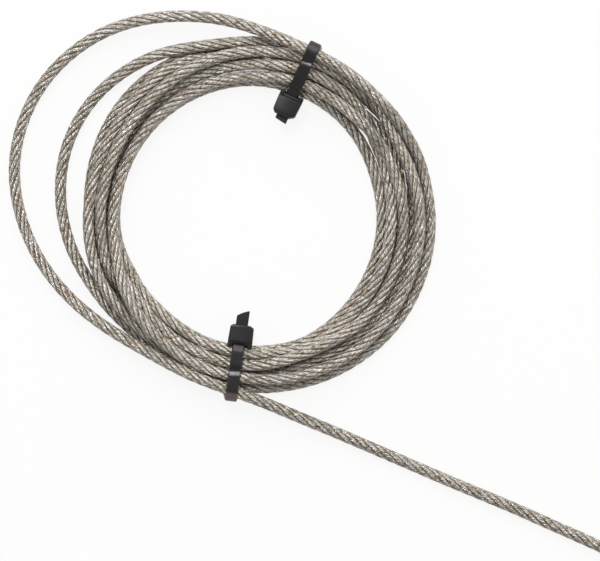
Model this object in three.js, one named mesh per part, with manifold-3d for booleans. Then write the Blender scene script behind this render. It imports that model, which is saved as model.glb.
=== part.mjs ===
// A coil of steel wire rope that lies flat, tied twice with small nylon cable ties.
// Two turns have slipped outwards on the left, and the rope's end runs off to the lower right.
// Millimetres. +X right and +Y up as seen from above, +Z up from the surface that the coil lies on.
// Angles are in degrees round the coil's centre, from +X towards +Y.

import * as THREE from 'three';
import { mergeVertices } from 'three/addons/utils/BufferGeometryUtils.js';
import Module from 'manifold-3d';

const wasm = await Module();
wasm.setup();

// Rope and coil
const ropeDiameter = 2.5;
const runningGap = 0.3;        // between any two pieces that touch
const innerRadius = 27.6;      // mean radius of the coil's inner edge
const turnsHigh = 1.92;        // height of the tied turns, in rope diameters

// The coil's inner edge wanders by these amounts, and its width is counted in rope diameters, every 30 degrees
const innerWander = [-2.3, -1.75, -0.4, 0.8, 1.4, 1.75, 2.1, 1.7, 0, 0.05, -1.25, -2.15];
const turnsWide = [5.12, 4.6, 4.22, 3.8, 4.14, 3.84, 3.24, 3.28, 3.9, 3.86, 4.56, 5.14];

// Cable ties
const strapWidth = 2.6;
const strapThickness = 1.0;
const headWidth = 5.2;
const headDepth = 3.5;
const headHeight = 4.6;
const headRise = 0.8;          // the slot lies this much above the middle of the turns
const headEdge = 0.3;          // bevel along the head's edges
const headCorner = 0.6;        // cut off the head's two far corners, seen from above
const legWidth = 0.7;          // the two legs beside the strap, at the head's foot
const legReach = 1.1;
const slotClearance = 0.35;
const slotDepth = 0.8;
const topTailLength = 1.5;     // what the cut left standing behind each head, at its longer side
const bottomTailLength = 3.1;
const topTailSlant = 0.35;     // the shorter side is shorter by this much
const bottomTailSlant = 1.25;

// A tie crosses the coil at this angle, and its strap may stand askew by some degrees. The longer side of
// its tail is the clockwise one (-1) or the anticlockwise one (1).
const ties = [
  {
    name: 'cable_tie_top', angle: 72.8, askew: -7.6, tailLength: topTailLength, tailSlant: topTailSlant,
    longSide: -1,
  },
  {
    name: 'cable_tie_bottom', angle: 261.8, askew: 0, tailLength: bottomTailLength, tailSlant: bottomTailSlant,
    longSide: 1,
  },
];
const liftPlateau = 4;         // degrees either side of a tie where the turns lie on its strap
const liftFade = 20;           // degrees over which they come down to the surface again

// The two slipped turns and the free end: angle, radius and height of the rope's centre
const outerLoopPoints = [
  [60, 36.4, 6.5], [66, 36.6, 6.8], [73, 37.1, 6.9], [80, 38.1, 6.7], [90, 40.1, 6.0], [100, 43.0, 5.0],
  [110, 45.9, 4.0], [120, 49.0, 3.1], [130, 51.7, 2.4], [140, 53.5, 1.8], [150, 54.4, 1.4],
  [160, 54.2, 1.25], [170, 52.9, 1.25], [180, 50.5, 1.25], [190, 47.6, 1.25], [200, 44.4, 1.4],
  [210, 41.3, 2.1], [220, 38.6, 3.5], [230, 36.8, 4.3], [240, 36.1, 4.6], [250, 36.1, 4.9],
  [257, 36.4, 5.0], [264, 37.3, 4.9],
];
const middleLoopPoints = [
  [87, 37.6, 3.9], [95, 37.8, 3.8], [104, 38.2, 3.4], [112, 39.3, 2.8], [120, 40.8, 2.2], [130, 42.2, 1.6],
  [140, 43.3, 1.3], [150, 43.8, 1.25], [160, 43.7, 1.25], [170, 42.9, 1.25], [180, 41.7, 1.25],
  [190, 40.2, 1.25], [200, 38.4, 1.25], [207, 37.1, 1.25], [214, 36.0, 1.3], [221, 35.4, 1.35],
];
// The free end, as x, y and height
const freeEndPoints = [
  [0.9, -38.8, 4.4], [8.5, -42.1, 3.2], [16.2, -45.3, 2.1], [23.8, -48.6, 1.5], [31.5, -51.9, 1.25],
  [39.1, -55.2, 1.25], [46.8, -58.4, 1.25], [54.5, -61.6, 1.25], [62.1, -65.0, 1.25], [69.8, -68.4, 1.25],
  [75.2, -70.9, 1.25],
];

// Fineness of the faceted solids
const ringSegments = 72;
const humpSteps = 5;
const ropeSides = 8;
const ropeStep = 5.5;
const circleSteps = 16;
const loopSamples = 900;
const meetSteps = 6;

const galvanisedSteel = new THREE.MeshStandardMaterial({ color: 0xa09b93, roughness: 0.38, metalness: 0.9 });
const blackNylon = new THREE.MeshStandardMaterial({ color: 0x2d2a2e, roughness: 0.5, metalness: 0 });

const rad = THREE.MathUtils.degToRad;

// A smooth closed curve through values that stand 30 degrees apart
function around(values, angle) {
  const step = 360 / values.length;
  const place = (((angle % 360) + 360) % 360) / step;
  const first = Math.floor(place);
  const t = place - first;
  const at = (i) => values[(first + i + values.length) % values.length];
  const [a, b, c, d] = [at(-1), at(0), at(1), at(2)];
  return b + 0.5 * t * (c - a + t * (2 * a - 5 * b + 4 * c - d + t * (3 * (b - c) + d - a)));
}

const innerEdge = (angle) => innerRadius + around(innerWander, angle);
const coilWidth = (angle) => around(turnsWide, angle) * ropeDiameter;
const outerEdge = (angle) => innerEdge(angle) + coilWidth(angle);
const coilHeight = turnsHigh * ropeDiameter;

// An askew strap meets the turns with a corner first, and needs that much more room
const strapClearance = (tie) => runningGap + strapWidth / 2 * Math.tan(rad(Math.abs(tie.askew)));

// The turns rise over each strap and lie on the surface elsewhere
function lift(angle) {
  const heights = ties.map((tie) => {
    const away = Math.abs(((angle - tie.angle + 540) % 360) - 180);
    const fade = THREE.MathUtils.clamp((away - liftPlateau) / liftFade, 0, 1);
    return (0.5 + 0.5 * Math.cos(Math.PI * fade)) * (strapThickness + strapClearance(tie));
  });
  return Math.max(...heights);
}

function toSolid(geometry) {
  const bare = geometry.index ? geometry.toNonIndexed() : geometry.clone();
  for (const name of Object.keys(bare.attributes)) {
    if (name !== 'position') bare.deleteAttribute(name);
  }
  const merged = mergeVertices(bare, 1e-4);
  return new wasm.Manifold(new wasm.Mesh({
    numProp: 3,
    vertProperties: new Float32Array(merged.attributes.position.array),
    triVerts: new Uint32Array(merged.index.array),
  }));
}

function toGeometry(solid) {
  const mesh = solid.getMesh();
  const geometry = new THREE.BufferGeometry();
  geometry.setAttribute('position', new THREE.BufferAttribute(new Float32Array(mesh.vertProperties), 3));
  geometry.setIndex(new THREE.BufferAttribute(new Uint32Array(mesh.triVerts), 1));
  geometry.computeVertexNormals();
  return geometry;
}

// Section of the tied turns in shares of its width and height: flat below,
// two bulges up each side for the two rows, and one hump on top for each upper turn
function coilSection() {
  const lowTop = 1 / turnsHigh;
  const inset = 0.5 / turnsWide[0];
  const points = [[0.06, 0], [0.94, 0]];
  const bulge = (u, v, reach, rise, from, to) => {
    for (let i = 0; i <= humpSteps; i++) {
      const turn = rad(THREE.MathUtils.lerp(from, to, i / humpSteps));
      points.push([u + reach * Math.cos(turn), v + rise * Math.sin(turn)]);
    }
  };
  const half = 0.5 * lowTop;
  bulge(1 - inset, half, inset, half, -60, 40);
  const humps = 4;
  const span = 1 - 2 * inset;
  const humpWidth = span / humps;
  for (let k = humps - 1; k >= 0; k--) {
    const middle = inset + (k + 0.5) * humpWidth;
    bulge(middle, 1 - half, humpWidth / 2, half, k === humps - 1 ? -10 : 25, k === 0 ? 190 : 155);
  }
  bulge(inset, half, inset, half, 140, 240);
  return points;
}

function coilSolid() {
  const section = coilSection();
  const profile = section.map(([u, v]) => new THREE.Vector2(u + 1, v));
  profile.push(profile[0].clone());
  const geometry = new THREE.LatheGeometry(profile, ringSegments);
  geometry.rotateX(Math.PI / 2);
  const position = geometry.attributes.position;
  for (let i = 0; i < position.count; i++) {
    const angle = THREE.MathUtils.radToDeg(Math.atan2(position.getY(i), position.getX(i)));
    const share = Math.hypot(position.getX(i), position.getY(i)) - 1;
    const radius = innerEdge(angle) + share * coilWidth(angle);
    position.setXYZ(i,
      radius * Math.cos(rad(angle)),
      radius * Math.sin(rad(angle)),
      lift(angle) + position.getZ(i) * coilHeight);
  }
  return toSolid(geometry);
}

const polar = ([angle, radius, height]) =>
  new THREE.Vector3(radius * Math.cos(rad(angle)), radius * Math.sin(rad(angle)), height);

const outerLoop = [...outerLoopPoints.map(polar), ...freeEndPoints.map((p) => new THREE.Vector3(...p))];
const middleLoop = middleLoopPoints.map(polar);

// A rope along a curve, and the room that it needs among the turns
function ropeAlong(points, diameter, extend = 0) {
  const route = points.map((p) => p.clone());
  if (extend > 0) {
    const ends = [[route[0], route[1]], [route.at(-1), route.at(-2)]];
    for (const [end, next] of ends) end.addScaledVector(end.clone().sub(next).normalize(), extend);
  }
  const curve = new THREE.CatmullRomCurve3(route, false, 'centripetal');
  const outline = [];
  for (let i = 0; i < ropeSides; i++) {
    const turn = (2 * Math.PI * (i + 0.5)) / ropeSides;
    outline.push(new THREE.Vector2(diameter / 2 * Math.cos(turn), diameter / 2 * Math.sin(turn)));
  }
  const steps = Math.round(curve.getLength() / ropeStep);
  const shape = new THREE.Shape(outline);
  return new THREE.ExtrudeGeometry(shape, { steps, extrudePath: curve, bevelEnabled: false });
}

// The outline round a set of circles, as a band pulled tight would take
function tightOutline(circles, extra) {
  const cloud = [];
  for (const { r, z, radius } of circles) {
    for (let i = 0; i < circleSteps; i++) {
      const turn = (2 * Math.PI * (i + 0.5)) / circleSteps;
      const reach = (radius + extra) / Math.cos(Math.PI / circleSteps);
      cloud.push([r + reach * Math.cos(turn), z + reach * Math.sin(turn)]);
    }
  }
  cloud.sort((p, q) => p[0] - q[0] || p[1] - q[1]);
  const cross = (o, a, b) => (a[0] - o[0]) * (b[1] - o[1]) - (a[1] - o[1]) * (b[0] - o[0]);
  const chain = (list) => {
    const kept = [];
    for (const p of list) {
      while (kept.length > 1 && cross(kept.at(-2), kept.at(-1), p) < 1e-6) kept.pop();
      kept.push(p);
    }
    return kept.slice(0, -1);
  };
  return [...chain(cloud), ...chain([...cloud].reverse())].map(([r, z]) => new THREE.Vector2(r, z));
}

// A flat outline in the tie's own radius and height, made into a plate across the strap
function plate(outline, width, holes = []) {
  const shape = new THREE.Shape(outline);
  shape.holes = holes.map((hole) => new THREE.Path(hole));
  const geometry = new THREE.ExtrudeGeometry(shape, { depth: width, bevelEnabled: false });
  geometry.translate(0, 0, -width / 2);
  return toSolid(geometry);
}

function block(sizeR, sizeZ, sizeAcross, r, z, across) {
  const geometry = new THREE.BoxGeometry(sizeR, sizeZ, sizeAcross);
  geometry.translate(r, z, across);
  return toSolid(geometry);
}

// A tie is built with x along its strap from the coil's centre outwards and y as the height,
// then stood up and turned about the middle of the strap
function tieSolid(tie) {
  const { angle, askew, tailLength, tailSlant, longSide } = tie;
  const ropeRadius = ropeDiameter / 2;
  const low = lift(angle) + ropeRadius;
  const high = lift(angle) + coilHeight - ropeRadius;
  const middleRadius = (innerEdge(angle) + outerEdge(angle)) / 2;
  const strapMiddle = polar([angle, middleRadius, 0]);
  const alongStrap = polar([angle + askew, 1, 0]);
  const acrossStrap = polar([angle + askew + 90, 1, 0]);

  // Where the strap crosses an edge of the coil, measured along the strap
  const meets = (edge) => {
    let along = edge(angle) - middleRadius;
    for (let i = 0; i < meetSteps; i++) {
      const point = strapMiddle.clone().addScaledVector(alongStrap, along);
      const there = THREE.MathUtils.radToDeg(Math.atan2(point.y, point.x));
      along += edge(there) - point.length();
    }
    return middleRadius + along;
  };
  const fromMiddle = (p) => p.clone().sub(strapMiddle);
  const crossing = new THREE.CatmullRomCurve3(outerLoop, false, 'centripetal').getPoints(loopSamples)
    .filter((p) => fromMiddle(p).dot(alongStrap) > 0)
    .reduce((best, p) =>
      Math.abs(fromMiddle(p).dot(acrossStrap)) < Math.abs(fromMiddle(best).dot(acrossStrap)) ? p : best);
  const innerMeet = meets(innerEdge);
  const outerMeet = meets(outerEdge);
  const circles = [
    { r: innerMeet + ropeRadius, z: low, radius: ropeRadius },
    { r: innerMeet + ropeRadius, z: high, radius: ropeRadius },
    { r: outerMeet - ropeRadius, z: low, radius: ropeRadius },
    { r: outerMeet - ropeDiameter, z: high, radius: ropeRadius },
    { r: middleRadius + fromMiddle(crossing).dot(alongStrap), z: crossing.z, radius: ropeRadius },
  ];
  const inside = tightOutline(circles, strapClearance(tie));
  const outside = tightOutline(circles, strapClearance(tie) + strapThickness);
  const face = Math.min(...outside.map((p) => p.x));
  const back = face - headDepth;
  const headZ = (low + high) / 2 + headRise;

  const bevelled = [];
  const corners = [
    [back, headZ - headHeight / 2, 1, 1], [face, headZ - headHeight / 2, -1, 1],
    [face, headZ + headHeight / 2, -1, -1], [back, headZ + headHeight / 2, 1, -1],
  ];
  corners.forEach(([r, z, inR, inZ], i) => {
    const pair = [[r + inR * headEdge, z], [r, z + inZ * headEdge]];
    if (i % 2 === 0) pair.reverse();
    bevelled.push(...pair.map((p) => new THREE.Vector2(...p)));
  });

  const strap = plate(outside, strapWidth, [inside]);
  const cornerSide = headCorner * Math.SQRT2;
  const head = [-1, 1].reduce((rest, side) => rest.subtract(
    block(cornerSide, 2 * headHeight, cornerSide, 0, 0, 0).rotate([0, 45, 0])
      .translate([back, headZ, side * headWidth / 2])), plate(bevelled, headWidth));
  const legMiddle = (strapWidth + legWidth) / 2;
  const legs = [-legMiddle, legMiddle].map((across) =>
    block(legReach, headHeight / 2, legWidth, face + legReach / 2 - 0.1, headZ, across));
  const slot = block(slotDepth * 2, strapThickness + 2 * slotClearance, strapWidth + 2 * slotClearance,
    back, headZ, 0);
  const tailOutline = [
    [face + strapThickness / 2, headZ - strapThickness / 2], [face + strapThickness / 2, headZ + strapThickness / 2],
    [back - tailLength, headZ + strapThickness / 2], [back - tailLength, headZ - strapThickness / 2],
  ].map((p) => new THREE.Vector2(...p));
  const tail = plate(tailOutline.reverse(), strapWidth);
  const slant = plate([[0, -1], [0, 1], [-2 * tailSlant, 1], [-2 * tailSlant, -1]].map(([r, z]) =>
    new THREE.Vector2(r, z * strapThickness)).reverse(), 2 * strapWidth)
    .rotate([0, longSide * THREE.MathUtils.radToDeg(Math.atan2(tailSlant, strapWidth)), 0])
    .translate([back - tailLength + tailSlant / 2, headZ, 0]);

  const whole = legs.reduce((sum, leg) => sum.add(leg), strap.add(head)).subtract(slot).add(tail.subtract(slant));
  const geometry = toGeometry(whole);
  geometry.rotateX(Math.PI / 2);
  geometry.translate(-middleRadius, 0, 0);
  geometry.rotateZ(rad(angle + askew));
  geometry.translate(strapMiddle.x, strapMiddle.y, 0);
  return geometry;
}

function addMesh(group, name, geometry, material) {
  const mesh = new THREE.Mesh(geometry, material);
  mesh.name = name;
  group.add(mesh);
}

const coil = new THREE.Group();

const room = ropeDiameter + 2 * runningGap;
const turns = coilSolid()
  .subtract(toSolid(ropeAlong(outerLoop, room, runningGap)))
  .subtract(toSolid(ropeAlong(middleLoop, room, runningGap)));

addMesh(coil, 'coil_turns', toGeometry(turns), galvanisedSteel);
addMesh(coil, 'outer_turn_and_free_end', ropeAlong(outerLoop, ropeDiameter), galvanisedSteel);
addMesh(coil, 'middle_turn', ropeAlong(middleLoop, ropeDiameter), galvanisedSteel);
for (const tie of ties) addMesh(coil, tie.name, tieSolid(tie), blackNylon);

// The origin is the middle of the underside of the whole part
const box = new THREE.Box3().setFromObject(coil);
const middle = box.getCenter(new THREE.Vector3());
coil.position.set(-middle.x, -middle.y, -box.min.z);
coil.updateMatrixWorld(true);

export default coil;
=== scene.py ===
# A flat coil of thin galvanised steel wire rope, tied twice with small black cable ties.
# Sizes are in millimetres beside the pieces they belong to, and mm turns them into metres.
import math

import bmesh
import bpy
import numpy as np
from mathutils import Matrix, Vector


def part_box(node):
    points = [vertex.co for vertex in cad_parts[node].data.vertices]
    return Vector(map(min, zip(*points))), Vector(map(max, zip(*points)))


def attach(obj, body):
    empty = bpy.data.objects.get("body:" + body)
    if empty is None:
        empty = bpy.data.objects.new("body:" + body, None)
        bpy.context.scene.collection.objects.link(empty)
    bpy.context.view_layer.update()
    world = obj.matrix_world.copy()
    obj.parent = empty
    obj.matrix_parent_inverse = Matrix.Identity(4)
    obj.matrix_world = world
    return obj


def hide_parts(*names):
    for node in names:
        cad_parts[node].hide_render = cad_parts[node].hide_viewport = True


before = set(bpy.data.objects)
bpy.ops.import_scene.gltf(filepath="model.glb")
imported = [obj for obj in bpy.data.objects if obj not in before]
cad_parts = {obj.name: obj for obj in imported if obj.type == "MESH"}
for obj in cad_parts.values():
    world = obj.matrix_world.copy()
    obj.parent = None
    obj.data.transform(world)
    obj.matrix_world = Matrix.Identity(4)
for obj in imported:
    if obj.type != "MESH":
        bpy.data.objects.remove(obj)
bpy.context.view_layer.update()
mm = 0.001


# Half way between a node's lowest and highest corners, in millimetres.
def middleOf(node):
    low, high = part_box(node)
    return (np.array(low) + np.array(high)) / 2 / mm


# The coil's own centre stands a little off the middle of its ring's box
ringMiddle = middleOf("coil_turns")
coilCentre = np.array([ringMiddle[0] - 0.147, ringMiddle[1] - 0.324, 0.0])


# Camera: straight down with a long lens, the photograph's frame 127.7 mm wide at the rope's height
cameraSettings = {"frameWidth": 127.7, "lens": 180.0, "sensor": 36.0, "aim": (8.94, -13.09), "height": 3.0}


def makeCamera(s):
    camera = bpy.data.cameras.new("camera")
    camera.lens = s["lens"]
    camera.sensor_width = s["sensor"]
    holder = bpy.data.objects.new("camera", camera)
    distance = s["frameWidth"] * s["lens"] / s["sensor"]
    holder.location = ((coilCentre[0] + s["aim"][0]) * mm, (coilCentre[1] + s["aim"][1]) * mm,
                       (s["height"] + distance) * mm)
    bpy.context.scene.collection.objects.link(holder)
    bpy.context.scene.camera = holder


makeCamera(cameraSettings)
print("camera above the coil")


# sRGB hex to linear: a straight part near black, a power of 2.4 above it.
def linear(hexColour):
    values = np.array([int(hexColour[i:i + 2], 16) for i in (1, 3, 5)]) / 255
    low = values / 12.92
    high = ((values + 0.055) / 1.055) ** 2.4
    return (*np.where(values <= 0.04045, low, high), 1.0)


# Adds one node, sets its properties and sockets, and links sockets that are given an output.
def addNode(tree, kind, settings=None, links=None):
    node = tree.nodes.new(kind)
    for name, value in (settings or {}).items():
        setattr(node, name, value)
    for name, value in (links or {}).items():
        socket = node.inputs[name]
        if isinstance(value, bpy.types.NodeSocket):
            tree.links.new(value, socket)
        else:
            socket.default_value = value
    return node


# A cubic between each two points, whose slopes come from the neighbours on either side.
def throughPoints(places, values, at):
    places = np.asarray(places, float)
    values = np.asarray(values, float)
    slopes = np.gradient(values, places)
    i = np.clip(np.searchsorted(places, at) - 1, 0, len(places) - 2)
    width = places[i + 1] - places[i]
    t = (at - places[i]) / width
    return ((2 * t**3 - 3 * t**2 + 1) * values[i] + (t**3 - 2 * t**2 + t) * width * slopes[i]
            + (3 * t**2 - 2 * t**3) * values[i + 1] + (t**3 - t**2) * width * slopes[i + 1])


# Each value becomes a quarter of both neighbours and half of itself, as often as asked. The ends stay.
def smoothed(values, times):
    out = np.array(values, float)
    for _ in range(times):
        out[1:-1] = 0.25 * out[:-2] + 0.5 * out[1:-1] + 0.25 * out[2:]
    return out


# Quads between neighbouring rings, each ring a closed outline. A cap is a fan to the ring's middle.
# rings is an array of rings x points x 3 in millimetres. Faces point outwards when the outline
# runs anticlockwise seen from the end of the path.
def skinOf(name, rings, capped=True, closed=False):
    count, around, _ = rings.shape
    index = np.arange(count * around).reshape(count, around)
    last = index if closed else index[:-1]
    ahead = np.roll(index, -1, 0) if closed else index[1:]
    quads = np.stack([last, np.roll(last, -1, 1), np.roll(ahead, -1, 1), ahead], -1).reshape(-1, 4)
    points = rings.reshape(-1, 3)
    triangles = np.zeros((0, 3), int)
    if capped and not closed:
        points = np.vstack([points, rings[0].mean(0), rings[-1].mean(0)])
        first, end = index[0], index[-1]
        start = np.stack([np.roll(first, -1), first, np.full(around, count * around)], -1)
        finish = np.stack([end, np.roll(end, -1), np.full(around, count * around + 1)], -1)
        triangles = np.vstack([start, finish])
    mesh = bpy.data.meshes.new(name)
    mesh.vertices.add(len(points))
    mesh.vertices.foreach_set("co", (points * mm).astype(np.float32).ravel())
    mesh.loops.add(4 * len(quads) + 3 * len(triangles))
    mesh.loops.foreach_set("vertex_index", np.concatenate([quads.ravel(), triangles.ravel()]).astype(np.int32))
    mesh.polygons.add(len(quads) + len(triangles))
    starts = np.concatenate([4 * np.arange(len(quads)), 4 * len(quads) + 3 * np.arange(len(triangles))])
    mesh.polygons.foreach_set("loop_start", starts.astype(np.int32))
    mesh.update(calc_edges=True)
    mesh.polygons.foreach_set("use_smooth", np.ones(len(mesh.polygons), bool))
    mesh.validate()
    piece = bpy.data.objects.new(name, mesh)
    bpy.context.scene.collection.objects.link(piece)
    return piece


def addAttribute(piece, name, values):
    attribute = piece.data.attributes.new(name, "FLOAT", "POINT")
    attribute.data.foreach_set("value", np.asarray(values, np.float32).ravel())


# The route of the rope. Each turn is a short list of angle, radius and height of the rope's centre,
# read off from the photograph lane by lane. Angles run anticlockwise from the lower tie at 262 degrees
# to 622, and heights are those of the turns away from the ties.
route = {
    "diameter": 2.5,
    "firstAngle": 262.0,
    "start": 408.0,          # the hidden end lies under the other turns
    "step": 1.5,             # degrees
    "floor": 1.25,           # height of a rope that lies on the surface
    "second": 3.5,           # height of a rope in the second row
    "tieAngles": (72.8, 261.8),
    "strapUnder": 1.10,      # the turns rise by this much over each strap
    "plateau": 4.0,          # degrees
    "fade": 20.0,
    "spacing": 0.80,         # between the points of the finished line
}
low, high = route["floor"], route["second"]
turns = [
    [(262, 34.6, low), (400, 34.3, low), (432, 34.1, low), (445, 35.7, low), (460, 37.4, low),
     (475, 38.1, low), (500, 38.1, low), (510, 37.7, low), (520, 37.1, low), (530, 36.5, low), (540, 36.0, low),
     (560, 35.8, low), (575, 34.5, low), (590, 32.4, low), (605, 31.3, low), (622, 31.0, low)],
    [(275, 31.0, low), (290, 31.0, low), (300, 30.6, low), (320, 29.6, low), (350, 29.4, low), (365, 30.5, low),
     (380, 31.7, low), (395, 32.3, low), (410, 31.7, low), (432, 31.5, low), (445, 33.0, low), (455, 34.4, low),
     (465, 35.8, 2.3), (475, 37.0, 3.3), (494, 36.6, 4.2), (510, 35.9, 4.5), (520, 35.8, 4.5), (540, 36.1, 4.1),
     (560, 36.0, 3.4), (575, 35.0, 2.3), (590, 33.9, 1.5),
     (605, 33.5, low), (622, 33.4, low)],
    [(280, 32.8, 2.4), (290, 32.6, 3.0), (300, 32.6, 3.0), (312, 32.8, 2.6), (325, 32.9, 2.3), (345, 32.9, 2.1),
     (360, 33.0, 1.7), (370, 33.4, low), (380, 34.15, low), (390, 34.5, low), (400, 34.4, 1.8), (412, 34.6, 2.9),
     (420, 34.9, 3.4),
     (432, 35.5, high), (460, 35.5, high), (470, 35.3, high), (480, 34.8, 3.8), (490, 34.2, 4.2), (500, 33.9, 4.5),
     (515, 33.6, 4.5), (540, 33.6, 4.1), (552, 33.6, 3.5), (565, 32.8, 3.0), (578, 31.0, 1.8), (590, 29.6, low),
     (605, 28.9, low), (622, 28.6, low)],
    [(270, 28.3, low), (290, 28.4, low), (300, 27.9, low), (310, 27.4, low), (320, 27.0, low), (335, 26.7, low),
     (360, 26.6, low), (372, 26.8, low), (385, 27.15, low), (400, 27.7, low), (410, 28.15, low), (432, 28.9, low),
     (450, 29.7, low), (470, 30.1, low), (490, 30.4, low), (510, 30.6, low), (545, 30.8, low), (552, 30.6, low),
     (560, 30.2, 1.8), (568, 29.8, 2.6), (578, 29.5, 3.3),
     (590, 29.1, high), (605, 28.9, high), (622, 28.9, high)],
    [(270, 28.9, high), (280, 29.1, 3.2), (290, 29.4, 3.0), (300, 29.3, 3.0), (310, 29.0, 3.3), (320, 28.7, high),
     (350, 28.5, high), (360, 28.6, 3.2), (370, 28.9, 2.6), (380, 29.4, 1.7), (388, 29.7, 1.7), (396, 30.3, 2.2), (406, 32.3, 3.0),
     (420, 32.9, high), (460, 32.9, high), (475, 33.15, 2.9), (490, 33.1, 2.4), (510, 33.05, 1.9), (530, 33.1, 1.5),
     (545, 33.1, low),
     (555, 32.5, 1.5), (570, 31.3, 2.6), (580, 30.9, high), (590, 30.8, high), (605, 30.9, high), (622, 31.2, high)],
    [(270, 31.0, high), (280, 30.5, 4.0), (290, 30.2, 4.4), (298, 30.2, 4.4), (306, 30.5, 4.0), (320, 31.0, high),
     (360, 31.0, high), (370, 30.9, high), (380, 30.8, 3.8), (390, 30.55, 4.0), (400, 30.3, 4.0), (410, 30.25, 3.8),
     (432, 30.3, high), (450, 30.5, high), (470, 30.6, high), (490, 30.6, high), (530, 30.7, high), (540, 30.9, high),
     (550, 31.2, 3.8),
     (560, 31.6, 4.4), (570, 32.1, 4.6), (580, 32.6, 4.2), (590, 33.1, high), (600, 33.4, high), (622, 33.7, high)],
    [(270, 34.1, high), (280, 34.4, high), (300, 34.8, high), (320, 34.8, high), (340, 34.6, high),
     (360, 34.55, high), (372, 34.3, high), (382, 33.9, high), (392, 34.1, 3.2), (402, 34.9, 2.6), (412, 35.8, 2.0),
     (422, 36.5, 1.6), (432, 37.0, 1.5)],
    [(262, 36.0, low), (280, 36.1, low), (290, 36.3, low), (300, 36.5, low), (310, 36.7, low), (320, 36.9, low),
     (335, 36.9, low), (350, 36.9, low), (360, 36.8, low), (370, 36.6, low), (380, 36.4, low), (390, 36.1, 1.8),
     (400, 35.9, 3.0), (410, 36.0, 4.3)],
]
# The two slipped turns and the free end, as the model has them: angle, radius and height,
# and x, y and height. Their heights hold the rise over the straps.
outerLoop = [
    (60, 36.4, 6.5), (66, 36.6, 6.8), (73, 37.1, 6.9), (80, 38.1, 6.7), (90, 40.1, 6.0), (100, 43.0, 5.0),
    (110, 45.9, 4.0), (120, 49.0, 3.1), (130, 51.7, 2.4), (140, 53.5, 1.8), (150, 54.4, 1.4), (160, 54.2, 1.25),
    (170, 52.9, 1.25), (180, 50.5, 1.25), (190, 47.6, 1.25), (200, 44.4, 1.4), (210, 41.3, 2.1), (220, 38.6, 3.5),
    (230, 36.8, 4.3), (240, 36.1, 4.6), (250, 36.1, 4.9), (257, 36.4, 5.0), (264, 37.3, 4.9),
]
middleLoop = [
    (87, 37.6, 3.9), (95, 37.8, 3.8), (104, 38.2, 3.4), (112, 39.3, 2.8), (120, 40.8, 2.2), (130, 42.2, 1.6),
    (140, 43.3, 1.3), (150, 43.8, 1.25), (160, 43.7, 1.25), (170, 42.9, 1.25), (180, 41.7, 1.25),
    (190, 40.2, 1.25), (200, 38.4, 1.25), (207, 37.1, 1.25), (214, 36.0, 1.3), (221, 35.4, 1.35),
]
middleReturn = [(228, 35.5, 1.25), (240, 36.0, 1.4), (252, 36.0, 2.2)]
freeEnd = [
    (0.9, -38.8, 4.4), (8.5, -42.1, 3.2), (16.2, -45.3, 2.1), (23.8, -48.6, 1.5), (31.5, -51.9, 1.25),
    (39.1, -55.2, 1.25), (46.8, -58.4, 1.25), (54.5, -61.6, 1.25), (62.1, -65.0, 1.25), (69.8, -68.4, 1.25),
    (75.2, -70.9, 1.25),
]


# Half a cosine wave on either side of each tie's plateau.
def liftAt(angle):
    away = np.abs((np.asarray(angle)[..., None] - np.array(route["tieAngles"]) + 540) % 360 - 180)
    share = np.clip((away - route["plateau"]) / route["fade"], 0, 1)
    return route["strapUnder"] * (0.5 + 0.5 * np.cos(np.pi * share)).max(-1)


# Radius and height at even steps of angle, one row for each turn, by cubics through the lists.
def laneArrays():
    perTurn = int(360 / route["step"])
    angles, radii, heights = [], [], []
    for k, lane in enumerate(turns):
        raised = [(a, r, z + float(liftAt(a))) for a, r, z in lane]
        if k == 6:
            raised += [(a + 360, r, z) for a, r, z in middleLoop + middleReturn]
        if k == 7:
            raised += [(a + 360, r, z) for a, r, z in outerLoop]
        for a, r, z in raised:
            angles.append(a + 360 * k)
            radii.append(r)
            heights.append(z)
    at = route["firstAngle"] + route["step"] * np.arange(perTurn * len(turns))
    radius = throughPoints(angles, radii, at).reshape(len(turns), perTurn)
    height = throughPoints(angles, heights, at).reshape(len(turns), perTurn)
    return at.reshape(len(turns), perTurn), radius, height


# The ropes are round, so any two in one section that are nearer than a diameter are pushed apart
# along the line between them, more in height than in radius. Each round also lowers them a little,
# draws the radii back to the lanes, and evens the changes out along the rope.
def settle(angle, radius, height):
    wanted = radius.copy()
    floor = route["floor"] + liftAt(angle)
    here = angle >= route["start"]
    loose = np.zeros_like(radius, bool)
    for k, first, last in ((1, 465, 575), (2, 275, 575), (4, 432, 530), (6, 275, 425), (6, 450, 590), (7, 425, 622)):
        loose[k] |= (angle[k] > 360 * k + first) & (angle[k] <= 360 * k + last)
    count = len(radius)
    rounds = 500
    for step in range(rounds):
        settling = step < rounds * 0.8
        if settling:
            height = np.where(loose, height, height - 0.012)
            radius = radius + 0.06 * (wanted - radius)
        pushR = np.zeros_like(radius)
        pushZ = np.zeros_like(height)
        for i in range(count - 1):
            for j in range(i + 1, count):
                dr = radius[j] - radius[i]
                dz = height[j] - height[i]
                away = np.maximum(np.hypot(dr, dz), 0.01)
                short = np.where(here[i] & here[j], np.clip(route["diameter"] * 1.01 - away, 0, None), 0)
                pushR[i] -= 0.18 * short * dr / away
                pushR[j] += 0.18 * short * dr / away
                pushZ[i] -= 0.4 * short * dz / away
                pushZ[j] += 0.4 * short * dz / away
        evening = 2 if settling else 1
        radius = radius + smoothed(pushR.ravel(), evening).reshape(radius.shape)
        height = height + smoothed(pushZ.ravel(), evening).reshape(height.shape)
        if settling:
            height = smoothed(height.ravel(), 1).reshape(height.shape)
        height = np.maximum(height, floor)
    return radius, height


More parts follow.
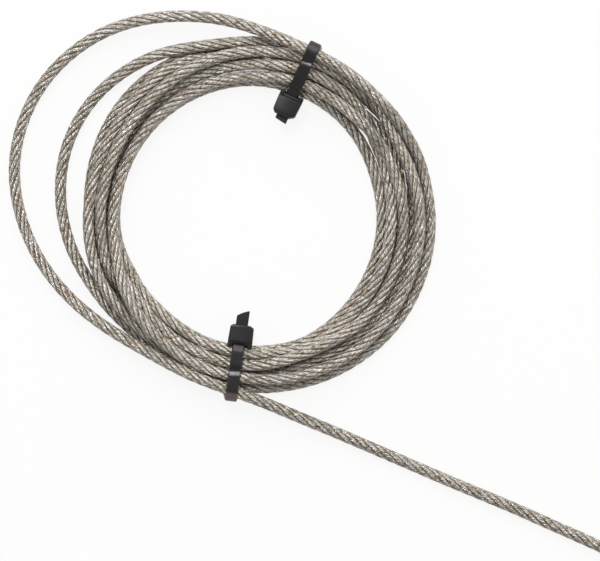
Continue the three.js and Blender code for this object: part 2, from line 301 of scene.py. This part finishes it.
# Points at even distances along a polyline, evened out along it and spaced once more.
def resampled(points, step, evenings):
    for _ in range(2):
        along = np.concatenate([[0], np.cumsum(np.linalg.norm(np.diff(points, axis=0), axis=1))])
        even = np.linspace(0, along[-1], int(round(along[-1] / step)) + 1)
        points = np.stack([np.interp(even, along, points[:, c]) for c in range(3)], -1)
        points = np.stack([smoothed(points[:, c], evenings) for c in range(3)], -1)
        evenings = 0
    return points


def ropeRoute():
    angle, radius, height = laneArrays()
    radius, height = settle(angle, radius, height)
    here = angle.ravel() >= route["start"]
    turn = np.radians(angle.ravel()[here])
    coil = np.stack([radius.ravel()[here] * np.cos(turn), radius.ravel()[here] * np.sin(turn),
                     height.ravel()[here]], -1)
    tail = np.array(freeEnd)
    along = np.concatenate([[0], np.cumsum(np.linalg.norm(np.diff(tail, axis=0), axis=1))])
    even = np.linspace(0, along[-1], 120)
    straight = np.stack([throughPoints(along, tail[:, c], even) for c in range(3)], -1)
    points = resampled(np.vstack([coil, straight]), route["spacing"], 20)
    return points + coilCentre


ropePath = ropeRoute()


# Rope: six strands round a core strand, each with twelve wires of 0.17 mm. In section a strand is wider than deep, because the
# strands press against each other.
rope = {
    "strandDiameter": 0.74,
    "spread": 1.36,          # width of a strand for its depth
    "lay": 15.4,             # length of one turn of a strand round the core
    "strands": 6,
    "wires": 12,
    "wireLay": 7.0,          # the wires turn the other way
    "wireRelief": 0.5,       # share of the full cleft between two round wires
    "pointsPerWire": 3,
    "coreDiameter": 0.84,
    "coreWires": 6,
}


# Outline of a strand: a ring of round wires that touch. Distance from the middle is that of the
# nearest wire's far side, and the clefts between the wires are filled up to the relief's share.
def strandSection(count, perWire, diameter, relief):
    turn = 2 * np.pi * np.arange(count * perWire) / (count * perWire)
    share = np.pi / count
    wire = diameter / 2 * math.sin(share) / (1 + math.sin(share))
    ring = diameter / 2 - wire
    away = (turn + share) % (2 * share) - share
    reach = ring * np.cos(away) + np.sqrt(np.maximum(wire**2 - (ring * np.sin(away))**2, 0))
    return turn, diameter / 2 - relief * (diameter / 2 - reach)


# Tangent by differences, a level side vector square to it, and the third square to both.
def framesAlong(points):
    tangent = np.gradient(points, axis=0)
    tangent /= np.linalg.norm(tangent, axis=1)[:, None]
    side = np.cross([0, 0, 1], tangent)
    side /= np.linalg.norm(side, axis=1)[:, None]
    return tangent, side, np.cross(tangent, side)


# A strand's middle winds round the rope's line at a fixed distance, by one turn for each lay.
# Its outline of wires turns the other way as it goes along, and is spread across the strand.
def sweptStrand(path, offset, phase, diameter, wires, perWire):
    along = np.concatenate([[0], np.cumsum(np.linalg.norm(np.diff(path, axis=0), axis=1))])
    tangent, side, up = framesAlong(path)
    turn = (2 * np.pi * along / rope["lay"] + phase)[:, None]
    outward = np.cos(turn) * side + np.sin(turn) * up
    middle = path + offset * outward
    ahead = np.gradient(middle, axis=0)
    ahead /= np.linalg.norm(ahead, axis=1)[:, None]
    out = outward - (outward * ahead).sum(1)[:, None] * ahead
    out /= np.linalg.norm(out, axis=1)[:, None]
    across = np.cross(ahead, out)
    sectionTurn, reach = strandSection(wires, perWire, diameter, rope["wireRelief"])
    twist = -2 * np.pi * along * (1 / rope["wireLay"] + (1 / rope["lay"] if offset else 0))
    full = twist[:, None] + sectionTurn[None, :]
    spread = rope["spread"] if offset else 1.0
    rings = (middle[:, None, :]
             + (reach * np.cos(full))[..., None] * out[:, None, :]
             + (reach * np.sin(full) * spread)[..., None] * across[:, None, :])
    return rings, along


# The piece's own map, in millimetres round the strand and along it. It follows the wires.
def addMap(piece, rings, along, girth):
    count, around, _ = rings.shape
    column = np.tile(np.arange(around), count - 1)
    row = np.repeat(np.arange(count - 1), around)
    u = np.stack([column, column + 1, column + 1, column], -1) * girth / around
    v = along[np.stack([row, row, row + 1, row + 1], -1)]
    values = np.zeros((len(piece.data.loops), 2), np.float32)
    values[:4 * len(row), 0] = u.ravel()
    values[:4 * len(row), 1] = v.ravel()
    piece.data.uv_layers.new(name="strand").data.foreach_set("uv", values.ravel())


def makeRope():
    radius = route["diameter"] / 2
    offset = radius - rope["strandDiameter"] / 2
    pieces = []
    for k in range(rope["strands"]):
        phase = 2 * np.pi * k / rope["strands"]
        rings, along = sweptStrand(ropePath, offset, phase, rope["strandDiameter"], rope["wires"],
                                   rope["pointsPerWire"])
        piece = skinOf(f"rope_strand_{k + 1}", rings)
        # painted shade and dirt: how deep each point lies under the rope's round outline, which the material darkens
        depth = 1 - np.linalg.norm(rings - ropePath[:, None, :], axis=2) / radius
        addAttribute(piece, "groove", np.concatenate([depth.ravel(), [0.5, 0.5]]))
        addMap(piece, rings, along + 40.0 * k, math.pi * rope["strandDiameter"])
        pieces.append(piece)
    rings, along = sweptStrand(ropePath[::3], 0.0, 0.0, rope["coreDiameter"], rope["coreWires"], 2)
    core = skinOf("rope_core_strand", rings)
    # the core gets the full dark colour of painted shade and dirt
    addAttribute(core, "groove", np.full(len(core.data.vertices), 0.7))
    addMap(core, rings, along, math.pi * rope["coreDiameter"])
    pieces.append(core)
    return pieces


ropePieces = makeRope()
print("rope:", [len(p.data.loops) - 2 * len(p.data.polygons) for p in ropePieces], "triangles")


# Cable ties. Each is one moulding: a strap, and a head with a slot that the strap's end has gone through.
tieSizes = {
    "strapWidth": 2.6,
    "strapThickness": 1.0,
    "chamfer": 0.24,         # along the strap's outer edges
    "gap": 0.05,             # between the rope and the strap
    "headWidth": 5.2,
    "headFarWidth": 5.0,
    "headDepth": 3.2,
    "headHeight": 4.6,
    "headRise": 0.8,         # the slot lies this much above the middle of the bundle
    "headEdge": 0.12,
    "bend": 0.9,             # radius of the strap's bend into the slot
    "slotWidth": 3.0,
    "slotHeight": 1.6,
    "legWidth": 1.0,
    "legReach": 1.35,
    "bendLightReach": 2.0,        # how far in from the strap's outer side its bend gets painted light
    "hoodReach": 0.75,       # a web between the legs, over the strap's bend
    "toothPitch": 0.8,
    "toothDepth": 0.16,
    "toothedFrom": 9.0,
    "channel": 0.18,
    "rail": 0.45,
    "step": 0.14,
}
# cut: how much shorter the tail's short side is. longSide: on which side of the strap the tail is longer.
# skew: the strap comes back under the bundle this much to one side, aside: all of it stands off the head's
# middle. corners: cut off the head's far corners. legDrop: the legs' tops lie this much below the head's, at the
# face and at their ends. dip: where the strap sinks between two ropes, half its length, and how deep. roll: the same,
# with degrees. The last number is how much painted light the strap's outer bend gets, as a paler colour.
ties = [
    {"name": "cable_tie_top", "angle": 72.8, "askew": -7.6, "reach": -0.4, "depth": 0.55, "tail": 1.3, "cut": 0.35,
     "longSide": -1, "skew": -0.4, "aside": 0.0, "corners": (1.0, 0.45),
     "legDrop": (0.8, 0.65), "dip": (1.7, 1.2, 0.26), "roll": (1.0, 1.1, -9.3), "bendLightShare": 0.1},
    {"name": "cable_tie_bottom", "angle": 261.8, "askew": 0.0, "reach": 0.25, "depth": 0.25, "tail": 3.15, "cut": 1.26,
     "longSide": 1, "skew": -0.95, "aside": -0.17, "corners": (0.4, 0.6),
     "legDrop": (0.35, 0.6), "dip": (-0.7, 1.4, 0.24), "roll": (0.0, 1.0, 4.4), "bendLightShare": 0.8},
]


# The middle of the strap, and unit vectors along and across it, level.
def tieFrame(tie, middleRadius=33.2):
    turn = math.radians(tie["angle"])
    lie = turn + math.radians(tie["askew"])
    origin = coilCentre + middleRadius * np.array([math.cos(turn), math.sin(turn), 0])
    return origin, np.array([math.cos(lie), math.sin(lie), 0]), np.array([-math.sin(lie), math.cos(lie), 0])


# Where the rope's line passes the plane of a tie: distance along the strap and height.
def ropesThrough(tie):
    origin, along, across = tieFrame(tie)
    aside = (ropePath - origin) @ across
    ahead = (ropePath - origin) @ along
    near = np.abs(ahead[:-1]) < 14
    cross = np.nonzero((aside[:-1] * aside[1:] <= 0) & near)[0]
    share = (aside[cross] / (aside[cross] - aside[cross + 1]))[:, None]
    hits = ropePath[cross] * (1 - share) + ropePath[cross + 1] * share
    return np.stack([(hits - origin) @ along, hits[:, 2]], -1)


# In each direction the outline touches the circle that lies furthest that way.
def tightLoop(centres, reach, fromTurn, toTurn, count=720):
    turn = np.radians(np.linspace(fromTurn, toTurn, count))
    facing = np.stack([np.cos(turn), np.sin(turn)], -1)
    nearest = (facing @ centres.T).argmax(1)
    return centres[nearest] + reach * facing


# Points at even distances along a flat line.
def evenly(points, step):
    along = np.concatenate([[0], np.cumsum(np.linalg.norm(np.diff(points, axis=0), axis=1))])
    even = np.linspace(0, along[-1], int(along[-1] / step) + 1)
    return np.stack([np.interp(even, along, points[:, c]) for c in range(2)], -1), even


# From the head's foot under the bundle, round its outer side, over the top and into the slot.
def strapLine(tie):
    s = tieSizes
    centres = ropesThrough(tie)
    ropeRadius = route["diameter"] / 2
    middleHeight = (centres[:, 1].min() + np.sort(centres[:, 1])[-2]) / 2
    headHeight = middleHeight + s["headRise"]
    reach = ropeRadius + s["gap"] + s["strapThickness"] / 2
    loop = tightLoop(centres, reach, 180, 540)
    inner = loop[:, 0].min()
    face = inner - s["strapThickness"] / 2 + tie["reach"]
    foot = headHeight - s["headHeight"] / 4
    start = np.array([[inner, foot]])
    turn = np.radians(np.linspace(0, -90, 12))
    bendMiddle = np.array([inner - s["bend"], headHeight + s["bend"]])
    bend = bendMiddle + s["bend"] * np.stack([np.cos(turn), np.sin(turn)], -1)
    end = np.array([[face - s["headDepth"] - tie["depth"] - tie["tail"], headHeight]])
    keep = np.ones(len(loop), bool)
    keep[: len(loop) // 2] = loop[: len(loop) // 2, 1] < foot
    keep[len(loop) // 2:] = loop[len(loop) // 2:, 1] > headHeight + s["bend"]
    line, even = evenly(np.vstack([start, loop[keep], bend, end]), s["step"])
    line = np.stack([smoothed(line[:, c], 8) for c in range(2)], -1)
    # pulled tight, the upper run sinks a little between two ropes
    middle, half, depth = tie["dip"]
    near = np.clip(np.abs(line[:, 0] - middle) / half, 0, 1)
    line[:, 1] -= np.where(line[:, 1] > headHeight, depth * (0.5 + 0.5 * np.cos(np.pi * near)), 0)
    return line, even, face, headHeight


# A flat band with chamfered outer edges, and a shallow channel along its inner side between two
# rails. First number across the strap, second outwards from its middle.
def strapSection(s):
    w, t, c, e = s["strapWidth"] / 2, s["strapThickness"] / 2, s["chamfer"], 0.12
    rail = w - s["rail"]
    floor = -t + s["channel"]
    return np.array([
        (-w, -t + e), (-w + e, -t), (-rail, -t), (-rail + 0.05, floor), (0, floor), (rail - 0.05, floor), (rail, -t),
        (w - e, -t), (w, -t + e), (w, t - c), (w - c, t), (0, t), (-w + c, t), (-w, t - c),
    ])


# Points given as along, across and height in a tie's own frame, put where the tie is.
def placed(points, tie):
    origin, along, across = tieFrame(tie)
    return origin + points[..., :1] * along + points[..., 1:2] * across + points[..., 2:] * np.array([0, 0, 1.0])


def strapRings(tie):
    s = tieSizes
    line, even, face, headHeight = strapLine(tie)
    ahead = np.gradient(line, axis=0)
    ahead /= np.linalg.norm(ahead, axis=1)[:, None]
    outward = np.stack([ahead[:, 1], -ahead[:, 0]], -1)
    section = strapSection(s)
    rings = np.zeros((len(line), len(section), 3))
    # teeth: a saw along the channel, which starts a little after the head
    saw = (even / s["toothPitch"]) % 1
    toothed = np.clip((even - s["toothedFrom"]) / 0.5, 0, 1)
    inChannel = section[:, 1] == -s["strapThickness"] / 2 + s["channel"]
    depth = section[None, :, 1] - inChannel[None, :] * (saw * toothed * s["toothDepth"])[:, None]
    # the lower run leaves the bend aside and comes back to the middle at the foot
    outer = line[:, 0].argmax()
    below = np.clip(1 - (line[:, 1] - line[:, 1].min()) / (line[outer, 1] - line[:, 1].min()), 0, 1)
    back = np.clip(even / even[outer], 0, 1)
    aside = tie["skew"] * np.where(even < even[outer], np.minimum(below, 1) * back, 0)
    aside = smoothed(aside, 30)
    rings[..., 0] = line[:, :1] + depth * outward[:, :1]
    rings[..., 2] = line[:, 1:] + depth * outward[:, 1:]
    rings[..., 1] = section[None, :, 0] + aside[:, None] + tie["aside"]
    # and it rolls a little to one side there
    middle, half, roll = tie["roll"]
    near = np.clip(np.abs(line[:, 0] - middle) / half, 0, 1)
    rolled = np.where(line[:, 1] > headHeight, np.tan(np.radians(roll)) * (0.5 + 0.5 * np.cos(np.pi * near)), 0)
    rings[..., 2] += rolled[:, None] * section[None, :, 0]
    # the end is cut off with a slight curve
    last = even[-1] - even
    across = 0.5 - tie["longSide"] * section[None, :, 0] / s["strapWidth"]
    rings[..., 0] += np.clip(1 - last / (tie["cut"] + 0.2), 0, 1)[:, None] * tie["cut"] * across**1.5
    return rings, face, headHeight


# A rectangle whose corners are quarter circles, anticlockwise, between two sides and two heights.
def roundedOutline(left, right, bottom, top, corner, steps=4):
    turn = np.radians(np.linspace(0, 90, steps))
    parts = []
    for k, (side, level) in enumerate([(right, top), (left, top), (left, bottom), (right, bottom)]):
        inX, inZ = (-1 if side == right else 1), (-1 if level == top else 1)
        middle = np.array([side + inX * corner, level + inZ * corner])
        parts.append(middle + corner * np.stack([np.cos(turn + k * np.pi / 2), np.sin(turn + k * np.pi / 2)], -1))
    return np.vstack(parts)


# The head's wall is carried round: near face, the slot, far face and outer side. Each station is a
# place along the strap and the outline there. Cut corners narrow the outline towards the far face.
def headRings(tie, face, headHeight):
    s = tieSizes
    back = face - s["headDepth"] - tie["depth"]
    near, far, high, edge = s["headWidth"] / 2, s["headFarWidth"] / 2, s["headHeight"] / 2, s["headEdge"]

    def outer(half, by, cuts=(0, 0), corner=0.25):
        return roundedOutline(-half + by + cuts[0], half - by - cuts[1], -high + by, high - by, corner)

    def hole(by):
        w, h = s["slotWidth"] / 2 + by, s["slotHeight"] / 2 + by
        return roundedOutline(-w, w, -h, h, 0.2)

    cuts = np.array(tie["corners"])
    stations = [
        (face - edge, outer(near, 0)), (face - edge * 0.3, outer(near, edge * 0.3)), (face, outer(near, edge)),
        (face, hole(0.2)), (face - 0.4, hole(0)), (back + 0.4, hole(0)), (back, hole(0.2)),
        (back, outer(far, edge, cuts)), (back + edge * 0.3, outer(far, edge * 0.3, cuts)),
        (back + edge, outer(far, 0, cuts)), (back + 0.6 * cuts.mean(), outer(far, 0, cuts * 0.3)),
        (back + 1.2 * cuts.mean(), outer(far, 0)),
    ]
    rings = np.zeros((len(stations), len(stations[0][1]), 3))
    for k, (at, outline) in enumerate(stations):
        rings[k, :, 0] = at
        rings[k, :, 1] = outline[:, 0]
        rings[k, :, 2] = outline[:, 1] + headHeight
    return rings


# A leg beside the strap, or the foot under it: a block along the strap whose top falls from the head
# towards the bundle. Small outlines at both ends grow to full size over the edge.
def blockRings(start, end, left, right, bottom, tops, edge=0.18):
    stations = [(start, 1.0), (start, 0.3), (start + edge, 0.0), (end - edge, 0.0), (end - 0.3 * edge, 0.3), (end, 1.0)]
    rings = []
    for at, shrink in stations:
        by = shrink * edge
        top = tops[0] + (tops[1] - tops[0]) * (at - start) / (end - start)
        outline = roundedOutline(left + by, right - by, bottom + by, top - by, 0.15)
        rings.append(np.column_stack([np.full(len(outline), at), outline]))
    return np.array(rings)


# One object from several skins, each with its normals recalculated so that they point out. Edges
# between flat faces stay sharp.
def joined(name, pieces):
    for piece in pieces:
        work = bmesh.new()
        work.from_mesh(piece.data)
        bmesh.ops.recalc_face_normals(work, faces=work.faces)
        work.to_mesh(piece.data)
        work.free()
    bpy.ops.object.select_all(action="DESELECT")
    for piece in pieces:
        piece.select_set(True)
    bpy.context.view_layer.objects.active = pieces[0]
    bpy.ops.object.join()
    pieces[0].name = name
    pieces[0].data.set_sharp_from_angle(angle=math.radians(20))
    return pieces[0]


def makeTie(tie):
    s = tieSizes
    rings, face, headHeight = strapRings(tie)
    parts = [skinOf("strap", placed(rings, tie))]
    parts.append(skinOf("head", placed(headRings(tie, face, headHeight), tie), closed=True))
    half, low = s["headWidth"] / 2, headHeight - s["headHeight"] / 2
    tops = [headHeight + s["headHeight"] / 2 - drop for drop in tie["legDrop"]]
    inside, tip = face - 0.4, face + s["legReach"]
    legs = [(-half, -half + s["legWidth"]), (half - s["legWidth"], half)]
    for left, right in legs:
        parts.append(skinOf("leg", placed(blockRings(inside, tip, left, right, low, tops), tie)))
    hood = blockRings(inside, face + s["hoodReach"], -half + 0.5, half - 0.5, tops[0] - 1.2, (tops[0], tops[1] - 0.1))
    parts.append(skinOf("hood", placed(hood, tie)))
    parts.append(skinOf("foot", placed(blockRings(inside, tip, -half + 0.1, half - 0.1, low, (low + 1.4, low + 1.4)),
                                       tie)))
    piece = joined(tie["name"] + "_moulding", parts)
    # painted light: the strap's outer bend is made paler, standing in for the light it catches there
    origin, along, across = tieFrame(tie)
    places = np.array([v.co for v in piece.data.vertices]) / mm
    out = (places - origin) @ along
    addAttribute(piece, "paintedBendLight", tie["bendLightShare"] * np.clip((out - out.max() + s["bendLightReach"]) / 0.5, 0, 1))
    return piece


tiePieces = [makeTie(tie) for tie in ties]
print("cable ties:", [len(p.data.loops) - 2 * len(p.data.polygons) for p in tiePieces], "triangles")


# Galvanised drawn steel wire: zinc over hard wire, a warm grey with soft highlights, because each
# strand's fine wires face many ways. Zinc dulls in small patches, and the grooves are painted darker, partly dirt and
# partly painted shade.
# The wires' own marks are 0.17 mm apart, which is under a pixel, so they are drawn at 0.28 mm.
wireLook = {"bright": "#e2dfda", "dull": "#857056", "green": "#7e7863", "grooveDirtAndShade": "#6a5335", "roughness": 0.34,
            "patch": 1.6, "grooved": (0.06, 0.22), "markWidth": 0.24, "markLength": 0.8, "markDepth": 0.3}


def wireMaterial(s):
    material = bpy.data.materials.new("galvanised drawn steel wire")
    material.use_nodes = True
    tree = material.node_tree
    tree.nodes.clear()
    place = addNode(tree, "ShaderNodeTexCoord")
    patches = addNode(tree, "ShaderNodeTexNoise", {},
                      {"Vector": place.outputs["Object"], "Scale": 1 / (s["patch"] * mm), "Detail": 3.0,
                       "Roughness": 0.6})
    stretch = addNode(tree, "ShaderNodeMapping", {},
                      {"Vector": place.outputs["UV"], "Scale": (1 / s["markWidth"], 1 / s["markLength"], 1.0)})
    marks = addNode(tree, "ShaderNodeTexNoise", {"noise_dimensions": "2D"},
                    {"Vector": stretch.outputs["Vector"], "Scale": 1.0, "Detail": 2.0, "Roughness": 0.6})
    both = addNode(tree, "ShaderNodeMath", {"operation": "MULTIPLY_ADD"}, {0: marks.outputs["Fac"], 1: 2.0,
                                                                           2: patches.outputs["Fac"]})
    spread = addNode(tree, "ShaderNodeMapRange", {}, {"Value": both.outputs[0], "From Min": 1.15, "From Max": 1.8})
    tints = addNode(tree, "ShaderNodeTexNoise", {}, {"Vector": place.outputs["Object"], "Scale": 1 / (2.2 * mm),
                                                     "Detail": 2.0})
    tint = addNode(tree, "ShaderNodeMapRange", {}, {"Value": tints.outputs["Fac"], "From Min": 0.4, "From Max": 0.62})
    dull = addNode(tree, "ShaderNodeMix", {"data_type": "RGBA"},
                   {"Factor": tint.outputs["Result"], "A": linear(s["dull"]), "B": linear(s["green"])})
    colour = addNode(tree, "ShaderNodeMix", {"data_type": "RGBA"},
                     {"Factor": spread.outputs["Result"], "A": dull.outputs[2], "B": linear(s["bright"])})
    # painted shade and dirt: points deep in the grooves between strands and wires are mixed towards the dark colour
    groove = addNode(tree, "ShaderNodeAttribute", {"attribute_name": "groove"})
    grooveDirtAndShade = addNode(tree, "ShaderNodeMapRange", {}, {"Value": groove.outputs["Fac"],
                                                    "From Min": s["grooved"][0], "From Max": s["grooved"][1]})
    mixed = addNode(tree, "ShaderNodeMix", {"data_type": "RGBA"},
                    {"Factor": grooveDirtAndShade.outputs["Result"], "A": colour.outputs[2], "B": linear(s["grooveDirtAndShade"])})
    bump = addNode(tree, "ShaderNodeBump", {}, {"Height": marks.outputs["Fac"], "Strength": 1.0,
                                                "Distance": s["markDepth"] * mm})
    rough = addNode(tree, "ShaderNodeMapRange", {}, {"Value": spread.outputs["Result"], "To Min": s["roughness"] + 0.08,
                                                     "To Max": s["roughness"] - 0.06})
    shader = addNode(tree, "ShaderNodeBsdfPrincipled", {},
                     {"Base Color": mixed.outputs[2], "Metallic": 1.0, "Roughness": rough.outputs["Result"],
                      "Normal": bump.outputs["Normal"]})
    addNode(tree, "ShaderNodeOutputMaterial", {}, {"Surface": shader.outputs["BSDF"]})
    return material


# Moulded nylon: smooth tool finish with a faint grain, which gives soft grey highlights on black
nylonLook = {"colour": "#121013", "worn": "#1b1818", "paintedBendLight": "#6a5c58", "roughness": 0.25, "grain": 0.3, "grainDepth": 0.007}


def nylonMaterial(s):
    material = bpy.data.materials.new("moulded black nylon")
    material.use_nodes = True
    tree = material.node_tree
    tree.nodes.clear()
    place = addNode(tree, "ShaderNodeTexCoord")
    grain = addNode(tree, "ShaderNodeTexNoise", {}, {"Vector": place.outputs["Object"],
                                                     "Scale": 1 / (s["grain"] * mm), "Detail": 3.0})
    clouds = addNode(tree, "ShaderNodeTexNoise", {}, {"Vector": place.outputs["Object"],
                                                      "Scale": 1 / (2.5 * mm), "Detail": 3.0})
    colour = addNode(tree, "ShaderNodeMix", {"data_type": "RGBA"},
                     {"Factor": clouds.outputs["Fac"], "A": linear(s["colour"]), "B": linear(s["worn"])})
    # painted light: the strap's outer bend is mixed towards a paler colour in place of the light it catches
    paintedBendLight = addNode(tree, "ShaderNodeAttribute", {"attribute_name": "paintedBendLight"})
    withBendLight = addNode(tree, "ShaderNodeMix", {"data_type": "RGBA"},
                    {"Factor": paintedBendLight.outputs["Fac"], "A": colour.outputs[2], "B": linear(s["paintedBendLight"])})
    bump = addNode(tree, "ShaderNodeBump", {}, {"Height": grain.outputs["Fac"], "Strength": 1.0,
                                                "Distance": s["grainDepth"] * mm})
    rough = addNode(tree, "ShaderNodeMapRange", {}, {"Value": clouds.outputs["Fac"], "To Min": s["roughness"] - 0.06,
                                                     "To Max": s["roughness"] + 0.1})
    shader = addNode(tree, "ShaderNodeBsdfPrincipled", {},
                     {"Base Color": withBendLight.outputs[2], "Roughness": rough.outputs["Result"], "IOR": 1.53,
                      "Normal": bump.outputs["Normal"]})
    addNode(tree, "ShaderNodeOutputMaterial", {}, {"Surface": shader.outputs["BSDF"]})
    return material


wire = wireMaterial(wireLook)
nylon = nylonMaterial(nylonLook)
for piece in ropePieces:
    piece.data.materials.append(wire)
for piece in tiePieces:
    piece.data.materials.append(nylon)
print("materials on")


# What stands for what
for piece in ropePieces:
    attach(piece, "root")
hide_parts("coil_turns", "outer_turn_and_free_end", "middle_turn")
for tie, piece in zip(ties, tiePieces):
    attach(piece, "root")
    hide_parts(tie["name"])


# Studio: a white table and a white room that is darker straight overhead, with soft lamps round the coil
studio = {"floor": 0.9, "tableColour": "#f2f2f0", "shadow": 0.12, "seenInMetal": 0.5, "metalGlow": 0.56, "room": (1.0, 0.99, 0.98),
          "sides": 1.0, "overhead": 0.64, "overheadFrom": 0.55, "overheadTo": 0.93, "nearSide": 0.5, "farSide": 1.15}


def makeTable(s):
    half = s["floor"]
    mesh = bpy.data.meshes.new("table")
    mesh.from_pydata([(-half, -half, 0), (half, -half, 0), (half, half, 0), (-half, half, 0)], [], [(0, 1, 2, 3)])
    table = bpy.data.objects.new("table", mesh)
    table.location = (0, 0, -0.00002)
    bpy.context.scene.collection.objects.link(table)
    material = bpy.data.materials.new("matt white card")
    material.use_nodes = True
    tree = material.node_tree
    tree.nodes.clear()
    card = addNode(tree, "ShaderNodeBsdfDiffuse", {}, {"Color": linear(s["tableColour"])})
    path = addNode(tree, "ShaderNodeLightPath")
    dimmer = addNode(tree, "ShaderNodeMapRange", {}, {"Value": path.outputs["Is Glossy Ray"], "To Min": 1.0,
                                                      "To Max": s["metalGlow"]})
    glow = addNode(tree, "ShaderNodeEmission", {}, {"Color": (1, 1, 1, 1), "Strength": dimmer.outputs["Result"]})
    camera = addNode(tree, "ShaderNodeMath", {"operation": "MULTIPLY"}, {0: path.outputs["Is Camera Ray"],
                                                                         1: 1 - s["shadow"]})
    metal = addNode(tree, "ShaderNodeMath", {"operation": "MULTIPLY"}, {0: path.outputs["Is Glossy Ray"],
                                                                        1: s["seenInMetal"]})
    seen = addNode(tree, "ShaderNodeMath", {"operation": "MAXIMUM"}, {0: camera.outputs[0], 1: metal.outputs[0]})
    both = addNode(tree, "ShaderNodeMixShader", {}, {0: seen.outputs[0], 1: card.outputs[0], 2: glow.outputs[0]})
    addNode(tree, "ShaderNodeOutputMaterial", {}, {"Surface": both.outputs[0]})
    mesh.materials.append(material)


def makeWorld(s):
    world = bpy.data.worlds.new("white room")
    bpy.context.scene.world = world
    world.use_nodes = True
    tree = world.node_tree
    tree.nodes.clear()
    direction = addNode(tree, "ShaderNodeTexCoord")
    parts = addNode(tree, "ShaderNodeSeparateXYZ", {}, {"Vector": direction.outputs["Generated"]})
    level = addNode(tree, "ShaderNodeMapRange", {"interpolation_type": "SMOOTHSTEP"},
                    {"Value": parts.outputs["Z"], "From Min": s["overheadFrom"], "From Max": s["overheadTo"],
                     "To Min": s["sides"], "To Max": s["overhead"]})
    window = addNode(tree, "ShaderNodeMapRange", {"interpolation_type": "SMOOTHSTEP"},
                     {"Value": parts.outputs["Y"], "From Min": -0.7, "From Max": 0.7, "To Min": s["nearSide"],
                      "To Max": s["farSide"]})
    strength = addNode(tree, "ShaderNodeMath", {"operation": "MULTIPLY"}, {0: level.outputs["Result"],
                                                                           1: window.outputs["Result"]})
    room = addNode(tree, "ShaderNodeBackground", {}, {"Color": (*s["room"], 1), "Strength": strength.outputs[0]})
    white = addNode(tree, "ShaderNodeBackground", {}, {"Color": (1, 1, 1, 1), "Strength": 1.0})
    path = addNode(tree, "ShaderNodeLightPath")
    both = addNode(tree, "ShaderNodeMixShader", {}, {0: path.outputs["Is Camera Ray"], 1: room.outputs[0],
                                                     2: white.outputs[0]})
    addNode(tree, "ShaderNodeOutputWorld", {}, {"Surface": both.outputs[0]})


lamps = [
    {"name": "window", "place": (0.0, 0.5, 0.5), "size": 0.6, "watts": 1.65, "colour": "#ffffff"},
    {"name": "ceiling_lamp", "place": (-0.12, 0.28, 0.65), "size": 0.09, "watts": 1.0, "colour": "#ffffff"},
]


def makeLamp(s):
    lamp = bpy.data.lights.new(s["name"], "AREA")
    lamp.energy = s["watts"]
    lamp.size = s["size"]
    lamp.color = linear(s["colour"])[:3]
    holder = bpy.data.objects.new(s["name"], lamp)
    place = np.array(s["place"])
    holder.location = place
    tilt = math.acos(place[2] / np.linalg.norm(place))
    holder.rotation_euler = (0, tilt, math.atan2(place[1], place[0]))
    bpy.context.scene.collection.objects.link(holder)


makeTable(studio)
makeWorld(studio)
for lamp in lamps:
    makeLamp(lamp)
bpy.context.scene.view_settings.view_transform = "Standard"
print("studio lit")
